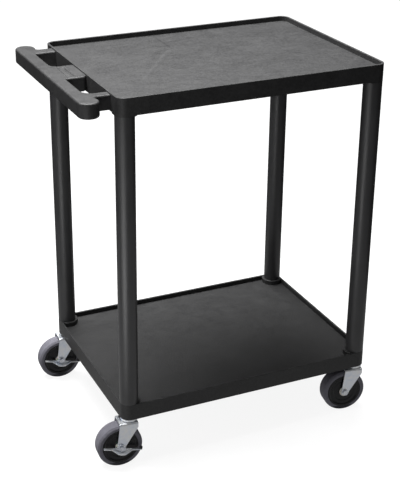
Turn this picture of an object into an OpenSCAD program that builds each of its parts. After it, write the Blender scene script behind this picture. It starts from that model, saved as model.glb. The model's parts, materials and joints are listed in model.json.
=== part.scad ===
// Rolling utility cart: two flat moulded shelves on four round legs, with a
// push handle on one short side and four swivel casters, two of them braked.
// The origin is on the floor, under the middle of the whole cart. +X points
// away from the push handle, along the shelves, and +Z is up.

/* [Shelves] */
// Length of each shelf, along X
shelf_length = 609.6; // [500:1:760]
// Depth of each shelf, along Y
shelf_depth = 450.8; // [420:0.1:480]
// Height of the shelf's skirt, up to the shelf's flat surface
skirt_height = 26.5; // [26:0.5:32]
// Height of the lip above the flat surface
lip_height = 11; // [10:0.5:14]
// Thickness of the skirt and the lip
wall = 5; // [4:0.5:6]
// Thickness of the shelf's flat panel
panel = 6; // [5:0.5:8]
// Free height between the two shelves
clearance = 667.5; // [400:0.5:760]

/* [Legs] */
// Radius of a leg
leg_radius = 20.6; // [20:0.1:21]
// Distance from a leg's skin to the shelf's outer face
leg_inset = 0.2; // [0.2:0.1:1]
// Wall thickness of a leg
leg_wall = 4.5; // [3.5:0.5:6]
// Height of the collar that stands below the upper shelf's skirt
collar = 2; // [1:0.5:4]

/* [Push handle] */
// Reach of the handle from the shelf's face
handle_reach = 75; // [73:0.5:90]
// Thickness of the handle
handle_thickness = 32.5; // [30:0.5:34]
// Distance of the handle's top below the shelf's lip
handle_drop = 2.7; // [2:0.1:4]
// Radius of the lobes at the ends of the grip
lobe_radius = 22; // [21:0.5:23]
// Depth of the two finger openings
finger_gap = 45; // [42:0.5:46]

/* [Casters] */
// Radius of a wheel over its tread
wheel_radius = 50.8; // [45:0.1:52]
// Width of a wheel
wheel_width = 32; // [28:1:34]
// Radius of the dark hub
hub_radius = 40.5; // [38:0.5:43]
// Distance from the swivel axis back to the axle
trail = 25; // [20:1:32]
// Height of the lower shelf's skirt above the floor
ground_gap = 116; // [115:0.5:118]
// Rest direction of each caster about its stem, front left, front right, back left, back right
swivel_rest = [-5, -9, -3, -6];
// Rest angle of the brake levers, front arm down
lever_rest = 11; // [0:1:11]
// Thickness of the stamped steel of a fork
fork_steel = 2.5; // [2:0.5:3]
// Balls in each swivel bearing
ball_count = 14; // [10:1:14]

/* [Hidden] */
$fn = 64;
CORNERS = ["front_left", "front_right", "back_left", "back_right"];
SIGNS = [[-1, -1], [1, -1], [-1, 1], [1, 1]];
BRAKED = [0, 2];
FRAME_NODES = ["top_shelf", "lower_shelf", "push_handle", "handle_screws", "stem_sleeves"];
CORNER_PIECES = ["leg", "caster_stem", "swivel_balls", "fork", "axle_bolt", "axle_nut",
    "axle_sleeve", "hub", "hub_bushes", "tyre"];
BRAKE_PIECES = ["brake_lever", "brake_pad"];

BLACK = [0.09, 0.09, 0.1];
LEG_BLACK = [0.16, 0.16, 0.17];
TREAD_GREY = [0.42, 0.4, 0.44];
ZINC = [0.78, 0.79, 0.8];
STEEL = [0.6, 0.61, 0.63];
NYLON = [0.85, 0.84, 0.8];
eps = 0.01;
far = 400;

// Heights of the main levels above the floor
lower_floor = ground_gap + skirt_height;
lower_rim = lower_floor + lip_height;
upper_skirt = lower_floor + clearance;
upper_rim = upper_skirt + skirt_height + lip_height;
handle_foot = upper_rim - handle_drop - handle_thickness;

// Places in plan: the shelves stand to +X, so that the origin is midway
// between the handle and the foremost wheel
corner_radius = leg_radius + leg_inset;
leg_x = shelf_length / 2 - corner_radius;
leg_y = shelf_depth / 2 - corner_radius;
wheel_overhang = wheel_radius - trail - corner_radius;
shelf_x = (handle_reach - wheel_overhang) / 2;
shelf_left = shelf_x - shelf_length / 2;

// Leg sockets, and the spigots of the legs that go in them
fit = 0.05;
boss_radius = 26;
spigot_radius = leg_radius - 2;
leg_bore = leg_radius - leg_wall;
socket_radius = spigot_radius + fit;
upper_spigot = 22;
lower_spigot = 22;
lower_socket = 24;
sleeve_flange = 1.8;
sleeve_outer = 8;
sleeve_top = 3;

// Push handle: half width of the necks, how far the lobes stop short of the
// shelf's depth, where the middle web starts and ends, and the two openings.
neck_y = 183;
lobe_shy = 1;
middle_web = [-50, 43];
rear_gap = 109;
front_gap = 110;

// Handle screws: heights above the skirt's foot, and places along Y
screw_radius = 2.4;
screw_head = 4.4;
screw_levels = [6.5, 15.5];
screw_rows = [-168, -22, 166];

// Caster levels above the floor
race_height = 7;
race_gap = 0.8;
fork_top = ground_gap - race_height;
ball_radius = 2.4;
ball_gap = 0.15;
ball_ring = 14;
race_top = fork_top + 2 * (ball_radius + ball_gap);
stem_radius = 5.5;
stem_length = 38;
kingpin_radius = 4;
rivet_radius = 8;
rivet_height = 3;
rivet_play = 0.3;
race_ring = 19;
race_wall = 1.6;

// Across the wheel, along the axle
fork_gap = 2.5;
fork_inside = wheel_width / 2 + fork_gap;
fork_outside = fork_inside + fork_steel;
axle_radius = 4;
sleeve_radius = 6;
bush_radius = 9;
bush_flange = 12;
bush_length = 12;
hub_boss_radius = 13;

// Brake lever: a stamped plate that rocks on the axle, outside the fork, with
// its two arms at the axle's height and a trough between them under the bolt
lever_steel = 2;
lever_play = 0.4;
lever_inside = fork_outside + lever_play;
lever_ring = 9;
lever_drop = 7;
lever_reach = 47;
lever_tail = 41;
lever_ledge = 16;
lever_wing = 6;
pad_size = 6;
bolt_head = 5;
hex_radius = 7.2;

// A rounded rectangle about the origin, exact at its corners
module rounded(length, depth, radius) {
    square([length - 2 * radius, depth], center = true);
    square([length, depth - 2 * radius], center = true);
    for (sx = [-1, 1])
        for (sy = [-1, 1])
            translate([sx * (length / 2 - radius), sy * (depth / 2 - radius)]) circle(radius);
}

// The point where a line from p touches the circle at c, on the given side
function touch(p, c, radius, side) =
    let (d = norm(p - c),
        lean = acos(radius / d),
        turn = atan2(p.y - c.y, p.x - c.x))
    c + radius * [cos(turn + side * lean), sin(turn + side * lean)];

// Whether caster i has a brake
function is_braked(i) = len(search(i, BRAKED)) > 0;

// A round rod along Y, from y0 to y1
module rod_y(radius, y0, y1) {
    translate([0, y1, 0]) rotate([90, 0, 0]) cylinder(r = radius, h = y1 - y0);
}

// The children on the axis of leg i
module at_corner(i) {
    translate([shelf_x + SIGNS[i].x * leg_x, SIGNS[i].y * leg_y, 0]) children();
}

// The children turned to the rest direction of caster i, about its stem
module at_caster(i) {
    at_corner(i) rotate(swivel_rest[i]) children();
}

// The children with the axle as their Y axis
module at_axle() {
    translate([-trail, 0, wheel_radius]) children();
}

// The children turned about the axle to the brake lever's rest angle
module at_lever() {
    at_axle() rotate([0, lever_rest, 0]) children();
}

// ---- Shelves -------------------------------------------------------------

// Skirt, panel, lip, ribs and corner bosses, from z = 0 at the skirt's foot.
// The outer ribs run from one corner boss to the next.
module shelf_body(boss_foot, boss_top) {
    rib = 4;
    rib_depth = 18;
    rib_foot = skirt_height - panel - rib_depth;
    rib_x = leg_x - boss_radius - rib / 2;
    rib_y = leg_y - boss_radius - rib / 2;
    inner_length = shelf_length - 2 * wall;
    inner_depth = shelf_depth - 2 * wall;
    difference() {
        linear_extrude(skirt_height + lip_height) rounded(shelf_length, shelf_depth, corner_radius);
        translate([0, 0, skirt_height])
            linear_extrude(far) rounded(inner_length, inner_depth, corner_radius - wall);
        translate([0, 0, -eps])
            linear_extrude(skirt_height - panel + eps)
                rounded(inner_length, inner_depth, corner_radius - wall);
    }
    translate([0, 0, rib_foot]) {
        for (k = [-1, 0, 1]) {
            translate([k * rib_x - rib / 2, -inner_depth / 2 - 1, 0])
                cube([rib, inner_depth + 2, rib_depth + 1]);
            translate([-inner_length / 2 - 1, k * rib_y - rib / 2, 0])
                cube([inner_length + 2, rib, rib_depth + 1]);
        }
    }
    translate([0, 0, boss_foot])
        linear_extrude(boss_top - boss_foot)
            intersection() {
                rounded(shelf_length, shelf_depth, corner_radius);
                for (s = SIGNS) translate([s.x * leg_x, s.y * leg_y]) circle(boss_radius);
            }
}

// A clearance hole through the skirt for each handle screw
module handle_screw_cuts() {
    hole_play = 0.3;
    for (y = screw_rows, z = screw_levels)
        translate([-shelf_length / 2 - 1, y, z])
            rotate([0, 90, 0]) cylinder(r = screw_radius + hole_play, h = wall + 2);
}

module top_shelf() {
    color(BLACK)
        translate([shelf_x, 0, upper_skirt])
            difference() {
                shelf_body(-collar, skirt_height);
                for (s = SIGNS)
                    translate([s.x * leg_x, s.y * leg_y, -collar - 1])
                        cylinder(r = socket_radius, h = upper_spigot + 2);
                handle_screw_cuts();
            }
}

module lower_shelf() {
    color(BLACK)
        translate([shelf_x, 0, ground_gap])
            difference() {
                shelf_body(0, skirt_height + lip_height);
                for (s = SIGNS)
                    translate([s.x * leg_x, s.y * leg_y, 0]) {
                        translate([0, 0, skirt_height + lip_height - lower_socket])
                            cylinder(r = socket_radius, h = lower_socket + 1);
                        cylinder(r = sleeve_outer + fit, h = skirt_height);
                    }
            }
}

// ---- Legs and what is in their feet --------------------------------------

module leg() {
    foot = lower_rim - lower_spigot;
    head = upper_skirt - collar;
    color(LEG_BLACK)
        difference() {
            union() {
                translate([0, 0, lower_rim]) cylinder(r = leg_radius, h = head - lower_rim);
                translate([0, 0, foot]) cylinder(r = spigot_radius, h = head + upper_spigot - foot);
            }
            translate([0, 0, foot - 1])
                cylinder(r = leg_bore, h = head + upper_spigot - foot + 2);
        }
}

// Moulded sleeves that grip the caster stems, with a flange under each leg
module stem_sleeves() {
    color(NYLON)
        for (i = [0 : 3])
            at_corner(i)
                difference() {
                    union() {
                        translate([0, 0, ground_gap])
                            cylinder(r = sleeve_outer, h = stem_length + sleeve_top);
                        translate([0, 0, lower_rim - lower_socket])
                            cylinder(r = spigot_radius - 1, h = sleeve_flange);
                    }
                    translate([0, 0, ground_gap - 1])
                        cylinder(r = stem_radius + fit, h = stem_length + 1 + fit);
                }
}

// ---- Push handle ---------------------------------------------------------

// Plan of the handle: u is the distance out from the shelf's face
module handle_plan() {
    lobe_u = handle_reach - lobe_radius;
    lobe_y = shelf_depth / 2 - lobe_shy - lobe_radius;
    neck_fillet = 8;
    web_corner = 9;
    feather = 1;
    fillet_y = neck_y + neck_fillet + fit;
    fillet_u = lobe_u - sqrt(pow(lobe_radius + neck_fillet + fit, 2) - pow(fillet_y - lobe_y, 2));
    difference() {
        union() {
            translate([0, -neck_y]) square([lobe_u + feather, 2 * neck_y]);
            translate([lobe_u, -lobe_y]) square([lobe_radius, 2 * lobe_y]);
            for (s = [-1, 1])
                translate([lobe_u, s * lobe_y]) circle(lobe_radius);
            polygon([
                [fillet_u + feather, feather - fillet_y],
                [lobe_u, feather - lobe_y],
                [lobe_u, lobe_y - feather],
                [fillet_u + feather, fillet_y - feather]]);
        }
        // Concave corners between the necks and the lobes
        for (s = [-1, 1])
            translate([fillet_u, s * fillet_y]) circle(neck_fillet);
        finger_opening(near_y = middle_web.y, far_y = middle_web.y + rear_gap, near_radius = 16);
        finger_opening(near_y = middle_web.x - front_gap, far_y = middle_web.x, near_radius = 24);
        // The web's front corner is round where it meets the shelf
        translate([0, middle_web.x])
            difference() {
                translate([-1, -1]) square([web_corner + 1, web_corner + 1]);
                translate([web_corner, web_corner]) circle(web_corner);
            }
    }
}

// One opening: its outer corner nearest the front is rounder than the other
module finger_opening(near_y, far_y, near_radius) {
    far_radius = 4;
    translate([-1, near_y]) square([finger_gap + 1 - near_radius, far_y - near_y]);
    translate([0, near_y + near_radius]) square([finger_gap, far_y - near_y - near_radius - far_radius]);
    translate([0, near_y + near_radius]) square([finger_gap - far_radius, far_y - near_y - near_radius]);
    translate([finger_gap - near_radius, near_y + near_radius]) circle(near_radius);
    translate([finger_gap - far_radius, far_y - far_radius]) circle(far_radius);
}

module push_handle() {
    pad = [13, 62, 0.8];
    pad_u = 36;
    thread_depth = 25;
    color(BLACK)
        translate([shelf_left, 0, handle_foot])
            difference() {
                mirror([1, 0, 0]) linear_extrude(handle_thickness) handle_plan();
                // A blank recessed pad on the middle web
                translate([-pad_u, (middle_web.x + middle_web.y - pad.y) / 2, handle_thickness - pad.z])
                    cube(pad + [0, 0, 1]);
                for (y = screw_rows, z = screw_levels)
                    translate([-thread_depth, y, upper_skirt + z - handle_foot])
                        rotate([0, 90, 0]) cylinder(r = screw_radius + fit, h = thread_depth + 1);
            }
}

// Pan-head screws from inside the skirt into the three bridges of the handle
module handle_screws() {
    shank = 29;
    head_height = 3.5;
    slot = [1.2, screw_head, 3];
    color(STEEL)
        for (y = screw_rows, z = screw_levels)
            translate([shelf_left + wall, y, upper_skirt + z])
                rotate([0, -90, 0]) {
                    cylinder(r = screw_radius, h = shank);
                    difference() {
                        translate([0, 0, -head_height]) cylinder(r = screw_head, h = head_height);
                        for (a = [0, 90])
                            rotate(a)
                                translate([0, 0, -head_height]) cube(slot, center = true);
                    }
                }
}

// ---- Casters: z = 0 is the floor, the stem is the Z axis, -X is the trail --

// Stem, upper race with its dust skirt, and the kingpin with its riveted end
module caster_stem() {
    race_lip = 2.4;
    race_boss = ball_ring - ball_radius - 2.5;
    point = 3;
    color(ZINC) {
        translate([0, 0, ground_gap - eps]) {
            cylinder(r = stem_radius, h = stem_length - point);
            translate([0, 0, stem_length - point])
                cylinder(r1 = stem_radius, r2 = stem_radius - 2, h = point);
        }
        difference() {
            translate([0, 0, fork_top + race_gap]) cylinder(r = race_ring, h = race_height - race_gap);
            translate([0, 0, fork_top]) cylinder(r = race_ring - race_wall, h = race_top - fork_top);
        }
        translate([0, 0, fork_top - fork_steel - rivet_height])
            cylinder(r = kingpin_radius, h = race_top - fork_top + fork_steel + rivet_height + 1);
        translate([0, 0, fork_top - fork_steel - rivet_play - rivet_height])
            cylinder(r1 = rivet_radius - 2, r2 = rivet_radius, h = rivet_height);
        translate([0, 0, race_top - race_lip]) cylinder(r = race_boss, h = race_lip + 1);
    }
}

module swivel_balls() {
    color(STEEL)
        for (k = [0 : ball_count - 1])
            rotate(k * 360 / ball_count)
                translate([ball_ring, 0, fork_top + ball_gap + ball_radius]) sphere(ball_radius);
}

// Stamped fork: a flat top and two tapering legs that end round the axle
module fork() {
    rear = -27;
    front = 15;
    end_radius = 8.5;
    bend = 4;
    rear_shoulder = bend;
    front_shoulder = 12;
    top = fork_top;
    axle = [-trail, wheel_radius];
    rear_corner = [rear, top - rear_shoulder];
    front_corner = [front, top - front_shoulder];
    color(ZINC)
        difference() {
            intersection() {
                // Cross-section: an upside-down U with rounded bends
                translate([-far / 2, 0, 0])
                    rotate([90, 0, 90])
                        linear_extrude(far)
                            difference() {
                                union() {
                                    translate([-fork_outside, 0]) square([2 * fork_outside, top - bend]);
                                    translate([-fork_outside + bend, 0])
                                        square([2 * (fork_outside - bend), top]);
                                    for (s = [-1, 1])
                                        translate([s * (fork_outside - bend), top - bend]) circle(bend);
                                }
                                translate([-fork_inside, -1])
                                    square([2 * fork_inside, top - bend + 1]);
                                translate([-fork_inside + bend - fork_steel, -1])
                                    square([2 * (fork_inside - bend + fork_steel), top - fork_steel + 1]);
                                for (s = [-1, 1])
                                    translate([s * (fork_outside - bend), top - bend])
                                        circle(bend - fork_steel);
                            }
                // Side view: wide at the top, narrow at the axle
                translate([0, far / 2, 0])
                    rotate([90, 0, 0])
                        linear_extrude(far) {
                            polygon([
                                [rear, top + 1],
                                rear_corner,
                                touch(rear_corner, axle, end_radius, 1),
                                axle,
                                touch(front_corner, axle, end_radius, -1),
                                front_corner,
                                [front, top + 1]]);
                            translate(axle) circle(end_radius);
                        }
            }
            translate([0, 0, top - fork_steel - 1]) cylinder(r = kingpin_radius + fit, h = fork_steel + 2);
            at_axle() rod_y(axle_radius + fit, -far / 2, far / 2);
        }
}

// Hexagon head and plain shank, through the fork, the sleeve and any brake
module axle_bolt(braked) {
    nut_space = 9;
    face = braked ? lever_inside + lever_steel + lever_play : fork_outside;
    color(STEEL)
        at_axle() {
            rod_y(axle_radius, -face - eps, fork_outside + nut_space);
            translate([0, -face, 0]) rotate([90, 0, 0]) cylinder(r = hex_radius, h = bolt_head, $fn = 6);
        }
}

module axle_nut() {
    nut_height = 6.5;
    color(STEEL)
        at_axle()
            difference() {
                translate([0, fork_outside + nut_height, 0])
                    rotate([90, 0, 0]) cylinder(r = hex_radius, h = nut_height, $fn = 6);
                rod_y(axle_radius + fit, fork_outside - 1, fork_outside + nut_height + 1);
            }
}

// Tube clamped between the fork's legs, on which the wheel turns
module axle_sleeve() {
    color(STEEL)
        at_axle()
            difference() {
                rod_y(sleeve_radius, -fork_inside, fork_inside);
                rod_y(axle_radius + fit, -fork_inside - 1, fork_inside + 1);
            }
}

// Dark moulded wheel centre: dished on both faces round a central boss
module hub() {
    dish = 2.5;
    rim = 4;
    color(BLACK)
        at_axle()
            rotate([90, 0, 0])
                rotate_extrude()
                    difference() {
                        translate([bush_radius + fit, -wheel_width / 2])
                            square([hub_radius - bush_radius - fit, wheel_width]);
                        for (s = [-1, 1])
                            translate([hub_boss_radius, s > 0 ? wheel_width / 2 - dish : -wheel_width / 2 - 1])
                                square([hub_radius - rim - hub_boss_radius, dish + 1]);
                    }
}

// Two flanged bushes, whose flanges keep the wheel midway in the fork
module hub_bushes() {
    face = wheel_width / 2;
    side_play = 0.3;
    color(NYLON)
        at_axle()
            for (turn = [0, 180])
                rotate(turn)
                    difference() {
                        union() {
                            rod_y(bush_radius, face - bush_length, face + 1);
                            rod_y(bush_flange, face, fork_inside - side_play);
                        }
                        rod_y(sleeve_radius + fit, 0, far);
                    }
}

// Soft tread with bevelled shoulders
module tyre() {
    shoulder = 4;
    half = wheel_width / 2;
    color(TREAD_GREY)
        at_axle()
            rotate([90, 0, 0])
                rotate_extrude()
                    polygon([
                        [hub_radius, -half],
                        [wheel_radius - shoulder, -half],
                        [wheel_radius, -half + shoulder],
                        [wheel_radius, half - shoulder],
                        [wheel_radius - shoulder, half],
                        [hub_radius, half]]);
}

// Rocking brake plate: a ring on the axle, a ledge to press, and two arms
module brake_lever() {
    trough = 8;
    shoulder = 24;
    seam = 0.4;
    tip = 4;
    color(ZINC)
        at_lever() {
            // Cheek: a ring on the axle, with the plate down to the trough
            difference() {
                union() {
                    rod_y(lever_ring, -lever_inside - lever_steel, -lever_inside);
                    translate([0, -lever_inside, 0])
                        rotate([90, 0, 0])
                            linear_extrude(lever_steel)
                                polygon([
                                    [-shoulder, 0],
                                    [-trough, -lever_drop],
                                    [trough, -lever_drop],
                                    [shoulder, 0]]);
                }
                rod_y(axle_radius + fit, -far / 2, far / 2);
            }
            // Arms and trough: one bent strip, cut to its plan
            translate([0, -lever_inside, 0])
                intersection() {
                    rotate([90, 0, 0])
                        linear_extrude(lever_ledge)
                            polygon([
                                [-lever_tail, 0],
                                [-shoulder, 0],
                                [-trough, -lever_drop],
                                [trough, -lever_drop],
                                [shoulder, 0],
                                [lever_reach, 0],
                                [lever_reach, -lever_steel],
                                [shoulder + seam, -lever_steel],
                                [trough + seam, -lever_drop - lever_steel],
                                [-trough - seam, -lever_drop - lever_steel],
                                [-shoulder - seam, -lever_steel],
                                [-lever_tail, -lever_steel]]);
                    translate([0, 0, -far / 2])
                        linear_extrude(far)
                            polygon([
                                [-lever_tail, 0],
                                [-lever_tail, -lever_wing],
                                [-shoulder, -lever_wing - 1],
                                [-tip, -lever_ledge],
                                [tip, -lever_ledge],
                                [shoulder, -lever_wing - 1],
                                [lever_reach, -lever_wing],
                                [lever_reach, 0]]);
                }
        }
}

// Rubber block at the end of the lever's front arm
module brake_pad() {
    color(BLACK)
        at_lever()
            translate([lever_reach - pad_size, -lever_inside - lever_wing, 0])
                cube([pad_size, lever_wing, pad_size]);
}

// ---- Drawing ---------------------------------------------------------------

top_shelf();
lower_shelf();
push_handle();
handle_screws();
stem_sleeves();
for (i = [0 : 3]) {
    corner = CORNERS[i];
    at_corner(i) leg();
    at_corner(i) caster_stem();
    at_caster(i) swivel_balls();
    at_caster(i) fork();
    at_caster(i) axle_bolt(is_braked(i));
    at_caster(i) axle_nut();
    at_caster(i) axle_sleeve();
    at_caster(i) hub();
    at_caster(i) hub_bushes();
    at_caster(i) tyre();
}
for (i = BRAKED) {
    at_caster(i) brake_lever();
    at_caster(i) brake_pad();
}
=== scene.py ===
"""A rolling utility cart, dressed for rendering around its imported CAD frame.

The CAD nodes give the sizes and places. Here the mouldings get their rounded edges, the wheels
their turned profiles, the steel its pressed edges, and every surface its own material.
"""

import json
import math

import bmesh
import bpy
from mathutils import Matrix, Vector


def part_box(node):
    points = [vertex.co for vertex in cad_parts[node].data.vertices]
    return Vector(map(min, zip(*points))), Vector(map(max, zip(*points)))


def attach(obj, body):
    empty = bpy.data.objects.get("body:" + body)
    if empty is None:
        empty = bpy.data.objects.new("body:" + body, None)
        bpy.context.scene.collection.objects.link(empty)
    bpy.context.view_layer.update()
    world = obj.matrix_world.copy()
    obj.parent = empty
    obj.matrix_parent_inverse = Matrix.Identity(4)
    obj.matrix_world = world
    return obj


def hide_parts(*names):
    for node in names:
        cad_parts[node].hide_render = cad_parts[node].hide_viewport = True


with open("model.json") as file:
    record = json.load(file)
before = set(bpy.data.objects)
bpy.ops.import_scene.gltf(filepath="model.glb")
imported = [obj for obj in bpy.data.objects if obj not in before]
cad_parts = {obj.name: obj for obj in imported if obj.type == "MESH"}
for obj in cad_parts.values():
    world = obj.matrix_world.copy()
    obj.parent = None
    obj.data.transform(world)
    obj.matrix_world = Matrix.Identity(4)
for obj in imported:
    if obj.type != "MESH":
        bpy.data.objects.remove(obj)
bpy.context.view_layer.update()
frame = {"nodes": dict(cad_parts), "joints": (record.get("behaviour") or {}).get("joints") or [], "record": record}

MM = 0.001
NEAR = 0.1 * MM  # how close an edge lies to a level to count as on it
SHELF_HEIGHT = 37.5 * MM  # from the foot of the skirt to the top of the lip
BETWEEN_SHELVES = 0.7  # a height above the lower shelf and below the upper one

# How far the edges are rounded
RIM_ROUND = 0.9 * MM
FOOT_ROUND = 1.0 * MM
HANDLE_ROUND = 4.0 * MM
PRESSED_ROUND = {"fork": 0.5 * MM, "axle_bolt": 0.4 * MM, "axle_nut": 0.4 * MM}
STEM_ROUND = 0.8 * MM
LEVER_ROUND = 0.4 * MM
PAD_ROUND = 1.0 * MM

CORNERS = ("front_left", "front_right", "back_left", "back_right")
BRAKED = ("front_left", "back_left")
JOINTS = {joint["name"]: joint for joint in frame["joints"]}
RANGE_SOCKETS = ("From Min", "From Max", "To Min", "To Max")

# Softboxes: name, place, target, size and watts. The low ones stand for the light that a white
# floor throws back.
LIGHTS = (
    ("overhead", (-0.3, 0.7, 3.4), (0, 0.1, 0.6), (2.4, 2.0), 340),
    ("left", (-3.2, 0.0, 1.3), (0, 0, 0.6), (1.2, 2.2), 21),
    ("floor_left", (-1.15, -0.95, 0.01), (-1.15, -0.95, 1.0), (1.0, 0.9), 12.5),
    ("floor_under", (0.0, -0.35, 0.01), (0.0, -0.35, 1.0), (1.8, 1.9), 4.5),
)


# ---- Materials --------------------------------------------------------------


class Nodes:
    """A small helper for building one material's node tree."""

    def __init__(self, name):
        self.material = bpy.data.materials.new(name)
        self.material.use_nodes = True
        self.tree = self.material.node_tree
        self.shader = self.tree.nodes["Principled BSDF"]
        coordinates = self.add("ShaderNodeTexCoord")
        self.place = coordinates.outputs["Object"]

    def add(self, kind, links=(), **values):
        """A node of that kind, with its inputs set or linked and its properties set."""
        node = self.tree.nodes.new(kind)
        for key, value in values.items():
            if key in node.inputs:
                node.inputs[key].default_value = value
            else:
                setattr(node, key, value)
        for key, output in dict(links).items():
            self.tree.links.new(output, node.inputs[key])
        return node

    def link(self, output, socket):
        self.tree.links.new(output, self.shader.inputs[socket])

    def set(self, **values):
        for key, value in values.items():
            self.shader.inputs[key.replace("_", " ")].default_value = value

    def noise(self, scale, detail=4.0, roughness=0.55, distortion=0.0, place=None):
        node = self.add(
            "ShaderNodeTexNoise",
            {"Vector": place or self.place},
            Scale=scale,
            Detail=detail,
            Roughness=roughness,
            Distortion=distortion,
        )
        return node.outputs["Fac"]

    def stretched(self, size, turn=0.0):
        """Object coordinates scaled by size along each axis, after a turn about Z."""
        node = self.add("ShaderNodeMapping", {"Vector": self.place})
        node.inputs["Rotation"].default_value = (0, 0, turn)
        node.inputs["Scale"].default_value = size
        return node.outputs["Vector"]

    def ramp(self, value, stops):
        """Colours along a value, as (position, grey or colour) pairs."""
        node = self.add("ShaderNodeValToRGB", {"Fac": value})
        elements = node.color_ramp.elements
        while len(elements) < len(stops):
            elements.new(0.5)
        for element, (position, colour) in zip(elements, stops):
            element.position = position
            grey = isinstance(colour, (int, float))
            element.color = (colour, colour, colour, 1) if grey else (*colour, 1)
        return node.outputs["Color"]

    def span(self, value, low, high, to_low, to_high):
        """The value carried from low..high to to_low..to_high, and held at the ends."""
        node = self.add("ShaderNodeMapRange", {"Value": value})
        for key, number in zip(RANGE_SOCKETS, (low, high, to_low, to_high)):
            node.inputs[key].default_value = number
        return node.outputs["Result"]

    def math(self, operation, a, b=None):
        node = self.add("ShaderNodeMath", operation=operation)
        for i, term in enumerate((a, b)):
            if isinstance(term, (int, float)):
                node.inputs[i].default_value = term
            elif term is not None:
                self.tree.links.new(term, node.inputs[i])
        return node.outputs[0]

    def seam(self, start, end, width):
        """1 on the line from start to end in plan, falling to 0 at width to either side."""
        along = (Vector(end) - Vector(start)).normalized()
        across = Vector((-along.y, along.x))
        terms = []
        for axis in (across, along):
            dot = self.add("ShaderNodeVectorMath", {0: self.place}, operation="DOT_PRODUCT")
            dot.inputs[1].default_value = (*axis, 0)
            terms.append(self.math("SUBTRACT", dot.outputs["Value"], axis.dot(Vector(start))))
        line = self.span(self.math("ABSOLUTE", terms[0]), 0, width, 1, 0)
        middle = (Vector(end) - Vector(start)).length / 2
        reach = self.math("ABSOLUTE", self.math("SUBTRACT", terms[1], middle))
        return self.math("MULTIPLY", line, self.span(reach, middle, middle + 2 * width, 1, 0))

    def above(self, height, value):
        """The value above that height, and 0 below it."""
        split = self.add("ShaderNodeSeparateXYZ", {0: self.place})
        return self.math("MULTIPLY", value, self.math("GREATER_THAN", split.outputs["Z"], height))

    def bump(self, height, distance, strength=1.0, under=None):
        """A bumped normal, on top of the one under it."""
        links = {"Height": height}
        if under is not None:
            links["Normal"] = under
        node = self.add("ShaderNodeBump", links, Strength=strength, Distance=distance)
        return node.outputs["Normal"]


def shelf_plastic():
    """Black structural foam: a pebbled skin, with the swirls that the foam leaves as it flows."""
    n = Nodes("shelf_plastic")
    swirl = n.noise(8, detail=7, roughness=0.6, distortion=2.6)
    along = n.stretched((1.0, 2.4, 1.0), math.radians(35))
    flow = n.noise(22, detail=5, roughness=0.6, distortion=1.2, place=along)
    speckle = n.noise(210, detail=3, roughness=0.75)
    mottle = n.math("ADD", n.math("MULTIPLY", swirl, 0.25), n.math("MULTIPLY", flow, 0.25))
    mottle = n.math("ADD", mottle, n.math("MULTIPLY", speckle, 0.5))
    # Knit lines where two flows met on the upper shelf, a dark one and a bright one
    meeting = (-0.016, 0.107)
    dark = n.seam(meeting, (-0.012, 0.2), 0.004)
    bright = n.seam(meeting, (-0.17, -0.1), 0.005)
    knit = n.math("SUBTRACT", n.math("MULTIPLY", bright, 0.07), n.math("MULTIPLY", dark, 0.1))
    mottle = n.math("ADD", mottle, n.above(BETWEEN_SHELVES, knit))
    greys = ((0.36, (0.014, 0.014, 0.0145)), (0.64, (0.034, 0.034, 0.0345)))
    n.link(n.ramp(mottle, greys), "Base Color")
    n.link(n.span(mottle, 0.36, 0.64, 0.42, 0.6), "Roughness")
    pebble = n.add("ShaderNodeTexVoronoi", {"Vector": n.place}, feature="SMOOTH_F1", Scale=420.0)
    grain = n.noise(900, detail=3)
    rough = n.bump(grain, 0.00006, 0.6, n.bump(pebble.outputs["Distance"], 0.00025, 0.6))
    n.link(n.bump(flow, 0.0005, 0.3, rough), "Normal")
    n.set(Specular_IOR_Level=0.36)
    return n.material


def leg_plastic():
    """Black tube: satin, with faint streaks along its length."""
    n = Nodes("leg_plastic")
    streak = n.noise(60, detail=5, roughness=0.6, place=n.stretched((1, 1, 0.03)))
    cloud = n.noise(14, detail=3)
    mix = n.math("ADD", n.math("MULTIPLY", streak, 0.6), n.math("MULTIPLY", cloud, 0.4))
    greys = ((0.35, (0.028, 0.028, 0.029)), (0.66, (0.046, 0.046, 0.048)))
    n.link(n.ramp(mix, greys), "Base Color")
    n.link(n.span(mix, 0.35, 0.65, 0.34, 0.44), "Roughness")
    n.link(n.bump(n.noise(700, detail=2), 0.00004, 0.5, n.bump(streak, 0.0002, 0.2)), "Normal")
    return n.material


def hub_plastic():
    """Near-black hard plastic, smoother than the shelves."""
    n = Nodes("hub_plastic")
    cloud = n.noise(35, detail=4)
    greys = ((0.35, (0.004, 0.004, 0.005)), (0.7, (0.008, 0.008, 0.009)))
    n.link(n.ramp(cloud, greys), "Base Color")
    n.link(n.span(cloud, 0.3, 0.7, 0.2, 0.34), "Roughness")
    n.link(n.bump(n.noise(1200, detail=2), 0.00002, 0.4), "Normal")
    n.set(Specular_IOR_Level=0.3)
    return n.material


def rubber(name, dark, light):
    """Moulded rubber with a dusty bloom and a very fine grain."""
    n = Nodes(name)
    cloud = n.noise(26, detail=5, roughness=0.65)
    dust = n.noise(160, detail=4)
    mix = n.math("ADD", n.math("MULTIPLY", cloud, 0.6), n.math("MULTIPLY", dust, 0.4))
    n.link(n.ramp(mix, ((0.34, dark), (0.66, light))), "Base Color")
    n.link(n.span(mix, 0.3, 0.7, 0.62, 0.8), "Roughness")
    n.link(n.bump(n.noise(1400, detail=3), 0.00005, 0.6), "Normal")
    n.set(Specular_IOR_Level=0.35)
    return n.material


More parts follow.
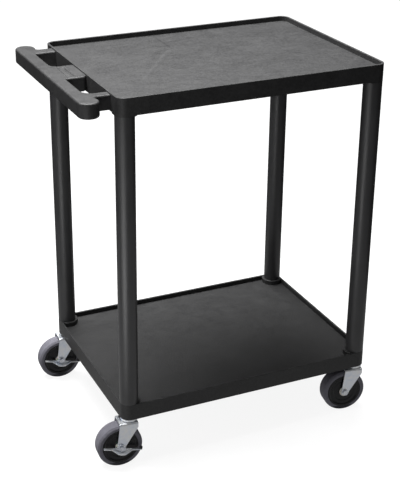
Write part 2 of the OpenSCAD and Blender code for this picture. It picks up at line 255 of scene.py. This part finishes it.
def zinc_plate():
    """Bright zinc over pressed steel: a bluish passivation tint, faint rolling marks."""
    n = Nodes("zinc_plate")
    cloud = n.noise(55, detail=4, roughness=0.6, distortion=0.6)
    roll = n.noise(260, detail=3, place=n.stretched((1, 1, 0.06)))
    tints = ((0.32, (0.66, 0.71, 0.8)), (0.52, (0.8, 0.82, 0.85)), (0.74, (0.86, 0.85, 0.83)))
    n.link(n.ramp(cloud, tints), "Base Color")
    wear = n.math("ADD", cloud, n.math("MULTIPLY", roll, 0.4))
    n.link(n.span(wear, 0.45, 0.95, 0.34, 0.5), "Roughness")
    n.link(n.bump(roll, 0.00005, 0.35, n.bump(cloud, 0.0002, 0.25)), "Normal")
    n.set(Metallic=1.0)
    return n.material


def fastener_steel():
    """Plain steel with a turned finish."""
    n = Nodes("fastener_steel")
    cloud = n.noise(120, detail=4)
    turned = n.noise(900, detail=2)
    n.link(n.ramp(cloud, ((0.3, (0.5, 0.53, 0.6)), (0.7, (0.72, 0.73, 0.75)))), "Base Color")
    n.link(n.span(turned, 0.3, 0.7, 0.22, 0.34), "Roughness")
    n.link(n.bump(turned, 0.00002, 0.4), "Normal")
    n.set(Metallic=1.0)
    return n.material


def nylon():
    """Natural nylon: off-white, a little translucent."""
    n = Nodes("nylon")
    cloud = n.noise(60, detail=3)
    n.link(n.ramp(cloud, ((0.3, (0.62, 0.6, 0.53)), (0.7, (0.74, 0.72, 0.66)))), "Base Color")
    n.link(n.span(cloud, 0.3, 0.7, 0.38, 0.5), "Roughness")
    n.link(n.bump(n.noise(800, detail=2), 0.00003, 0.4), "Normal")
    n.set(Subsurface_Weight=0.15, Subsurface_Scale=0.004)
    return n.material


MATERIALS = {
    "shelf_plastic": shelf_plastic(),
    "leg_plastic": leg_plastic(),
    "hub_plastic": hub_plastic(),
    "grey_rubber": rubber("grey_rubber", (0.115, 0.113, 0.134), (0.165, 0.162, 0.19)),
    "black_rubber": rubber("black_rubber", (0.012, 0.012, 0.012), (0.028, 0.028, 0.028)),
    "zinc_plate": zinc_plate(),
    "fastener_steel": fastener_steel(),
    "nylon": nylon(),
}
SLOT_OF = {row["node"]: row["material_slot"] for row in frame["record"]["subparts"]}


# ---- Mesh helpers -----------------------------------------------------------


def finish_mesh(obj, sharp=35):
    """Smooth shading with creases kept, and flat areas that stay flat."""
    obj.data.shade_smooth()
    obj.data.set_sharp_from_angle(angle=math.radians(sharp))
    modifier = obj.modifiers.new("flat areas stay flat", "WEIGHTED_NORMAL")
    modifier.keep_sharp = True


def piece(name, mesh, node, body):
    """A piece that stands for a CAD node, rides on its body and wears its material."""
    obj = bpy.data.objects.new(name, mesh)
    bpy.context.scene.collection.objects.link(obj)
    mesh.materials.clear()
    mesh.materials.append(MATERIALS[SLOT_OF[node]])
    finish_mesh(obj)
    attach(obj, body)
    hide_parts(node)
    return obj


def clean_copy(node):
    """A CAD node's solid with its flat areas as whole faces, ready to have its edges rounded."""
    shape = bmesh.new()
    shape.from_mesh(frame["nodes"][node].data)
    bmesh.ops.remove_doubles(shape, verts=shape.verts, dist=0.002 * MM)
    bmesh.ops.dissolve_limit(
        shape,
        angle_limit=math.radians(0.5),
        use_dissolve_boundaries=False,
        verts=shape.verts,
        edges=shape.edges,
    )
    return shape


def round_edges(shape, radius, chosen, segments=3, angle=30):
    """Rounds the sharp edges for which chosen(middle, convex) is true."""
    edges = []
    for edge in shape.edges:
        turn = edge.calc_face_angle_signed(0)
        if edge.is_manifold and abs(turn) > math.radians(angle):
            middle = (edge.verts[0].co + edge.verts[1].co) / 2
            if chosen(middle, turn > 0):
                edges.append(edge)
    bmesh.ops.bevel(
        shape,
        geom=edges,
        offset=radius,
        segments=segments,
        profile=0.5,
        affect="EDGES",
        clamp_overlap=False,
    )


def to_mesh(shape, name):
    """The shape as a mesh with its faces outward; the shape is used up."""
    mesh = bpy.data.meshes.new(name)
    bmesh.ops.recalc_face_normals(shape, faces=shape.faces)
    shape.to_mesh(mesh)
    shape.free()
    return mesh


def rounded_outline(points, steps=5):
    """A closed outline through (x, y, radius) corners, each turned with its own radius."""
    outline = []
    for i, (x, y, radius) in enumerate(points):
        corner = Vector((x, y))
        before = (Vector(points[i - 1][:2]) - corner).normalized()
        after = (Vector(points[(i + 1) % len(points)][:2]) - corner).normalized()
        if radius == 0:
            outline.append(corner)
            continue
        half = before.angle(after) / 2
        reach = radius / math.tan(half)
        centre = corner + (before + after).normalized() * (radius / math.sin(half))
        start = corner + before * reach - centre
        end = corner + after * reach - centre
        for k in range(steps + 1):
            outline.append(centre + start.slerp(end, k / steps).normalized() * radius)
    return outline


def lathe(outline, segments=96):
    """A closed (radius, offset) outline in millimetres, turned about the Y axis."""
    shape = bmesh.new()
    rings = []
    for k in range(segments):
        turn = 2 * math.pi * k / segments
        x, z = MM * math.cos(turn), MM * math.sin(turn)
        rings.append([shape.verts.new((r * x, y * MM, r * z)) for r, y in outline])
    count = len(outline)
    for k in range(segments):
        here, there = rings[k], rings[(k + 1) % segments]
        for i in range(count):
            j = (i + 1) % count
            shape.faces.new((here[i], here[j], there[j], there[i]))
    return shape


def axle_frame(corner):
    """The matrix that puts a shape turned about Y onto that corner's axle."""
    joint = JOINTS["wheel_spin_" + corner]
    along = Vector(joint["axis"]).normalized()
    up = Vector((0, 0, 1))
    matrix = Matrix((along.cross(up), along, up)).transposed().to_4x4()
    return Matrix.Translation(joint["pos_m"]) @ matrix


# ---- Shelves and handle -----------------------------------------------------


def shelf(node):
    """Broken edges along the lip and the foot of the skirt."""
    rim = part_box(node)[1].z
    foot = rim - SHELF_HEIGHT
    shape = clean_copy(node)
    round_edges(shape, RIM_ROUND, lambda p, convex: convex and abs(p.z - rim) < NEAR)
    round_edges(shape, FOOT_ROUND, lambda p, convex: convex and abs(p.z - foot) < NEAR, 2)
    return piece(node + "_moulding", to_mesh(shape, node), node, "root")


def push_handle():
    """The outer edges above and below well rounded; left sharp where they meet the shelf."""
    low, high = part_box("push_handle")
    seam = high.x - 0.5 * MM
    shape = clean_copy("push_handle")

    def outer(p, convex):
        return convex and p.x < seam and min(high.z - p.z, p.z - low.z) < NEAR

    round_edges(shape, HANDLE_ROUND, outer, 4)
    return piece("push_handle_moulding", to_mesh(shape, "push_handle"), "push_handle", "root")


# ---- Casters ----------------------------------------------------------------


def tyre(corner):
    """Tread with rounded shoulders and a bonded inner edge, in (radius, offset, rounding)."""
    half, tread, inner, shoulder = 16.0, 50.8, 40.5, 4.0
    side = [
        (inner, 0, 0),
        (inner, half - 0.6, 0.2),
        (inner + 0.8, half, 0.4),
        (tread - shoulder, half, 1.6),
        (tread, half - shoulder, 2.4),
        (tread, 0.5, 0),
    ]
    other = [(r, -y, radius) for r, y, radius in reversed(side[1:])]
    outline = rounded_outline([*side, (tread, 0, 0), *other])
    shape = lathe(outline)
    shape.transform(axle_frame(corner))
    node = "tyre_" + corner
    return piece(node + "_tread", to_mesh(shape, node), node, "wheel_" + corner)


def hub(corner):
    """Dark wheel centre: raised rim, shallow disc with one step, and boss, as the tread is."""
    side = [
        (9.05, 0, 0),
        (9.05, 16.0, 0.3),
        (12.8, 16.0, 0.6),
        (14.2, 13.8, 1.0),
        (25.0, 13.6, 0.8),
        (26.6, 14.4, 0.8),
        (34.0, 14.1, 1.5),
        (36.7, 15.9, 0.6),
        (40.45, 15.9, 0.3),
    ]
    other = [(r, -y, radius) for r, y, radius in reversed(side[1:])]
    shape = lathe(rounded_outline([*side, *other], 4))
    shape.transform(axle_frame(corner))
    node = "hub_" + corner
    return piece(node + "_disc", to_mesh(shape, node), node, "wheel_" + corner)


def pressed(node, body, radius, segments=2):
    """A small CAD node with its outer edges broken."""
    shape = clean_copy(node)
    round_edges(shape, radius, lambda p, convex: convex, segments)
    return piece(node + "_pressed", to_mesh(shape, node), node, body)


def caster(corner):
    """What is seen of one caster; the left ones have a brake plate."""
    tyre(corner)
    hub(corner)
    for name, radius in PRESSED_ROUND.items():
        pressed(name + "_" + corner, "swivel_" + corner, radius)
    pressed("caster_stem_" + corner, "root", STEM_ROUND)
    if corner in BRAKED:
        pressed("brake_lever_" + corner, "brake_" + corner, LEVER_ROUND)
        pressed("brake_pad_" + corner, "brake_" + corner, PAD_ROUND, 3)


# ---- Studio -----------------------------------------------------------------


def floor():
    """A wide pale floor that only the camera sees, so that it throws nothing back on the cart."""
    bpy.ops.mesh.primitive_plane_add(size=60, location=(0, 0, 0))
    plane = bpy.context.object
    plane.name = "floor"
    n = Nodes("floor")
    n.set(Base_Color=(0.16, 0.16, 0.16, 1), Roughness=1.0, Specular_IOR_Level=0.0)
    n.set(Emission_Color=(1, 1, 1, 1), Emission_Strength=0.9)
    plane.data.materials.append(n.material)
    plane.visible_glossy = False
    plane.visible_diffuse = False


def sky():
    """A studio that grows brighter from the floor up."""
    world = bpy.data.worlds.new("studio")
    bpy.context.scene.world = world
    world.use_nodes = True
    tree = world.node_tree
    background = tree.nodes["Background"]
    direction = tree.nodes.new("ShaderNodeTexCoord")
    split = tree.nodes.new("ShaderNodeSeparateXYZ")
    tree.links.new(direction.outputs["Generated"], split.inputs[0])
    height = tree.nodes.new("ShaderNodeMapRange")
    for key, value in zip(RANGE_SOCKETS, (-0.05, 0.85, 0.02, 0.3)):
        height.inputs[key].default_value = value
    tree.links.new(split.outputs["Z"], height.inputs["Value"])
    tree.links.new(height.outputs["Result"], background.inputs["Strength"])
    background.inputs["Color"].default_value = (1, 1, 1, 1)


def soft_light(name, place, target, size, watts):
    """A rectangular softbox; the camera sees the room in its place."""
    data = bpy.data.lights.new(name, "AREA")
    data.shape = "RECTANGLE"
    data.size, data.size_y = size
    data.energy = watts
    obj = bpy.data.objects.new(name, data)
    obj.location = place
    obj.rotation_euler = (Vector(target) - Vector(place)).to_track_quat("-Z", "Y").to_euler()
    obj.visible_camera = False
    bpy.context.scene.collection.objects.link(obj)


def camera():
    """Above the cart's front left, where the photographer stood."""
    data = bpy.data.cameras.new("camera")
    data.lens = 89.325
    data.sensor_width = 36
    data.shift_x = 0.0652
    data.shift_y = -0.0631
    obj = bpy.data.objects.new("camera", data)
    low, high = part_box("lower_shelf")
    obj.location = ((low.x + high.x) / 2 - 1.0924, -2.2793, 1.5635)
    obj.rotation_euler = (math.radians(90 - 23.367), 0, math.radians(-23.502))
    bpy.context.scene.collection.objects.link(obj)
    bpy.context.scene.camera = obj


# ---- The whole cart ---------------------------------------------------------

for node, obj in frame["nodes"].items():
    obj.data.materials.clear()
    obj.data.materials.append(MATERIALS[SLOT_OF[node]])

shelf("top_shelf")
shelf("lower_shelf")
push_handle()
for corner in CORNERS:
    caster(corner)

floor()
sky()
for light in LIGHTS:
    soft_light(*light)
camera()
bpy.context.scene.view_settings.view_transform = "Standard"
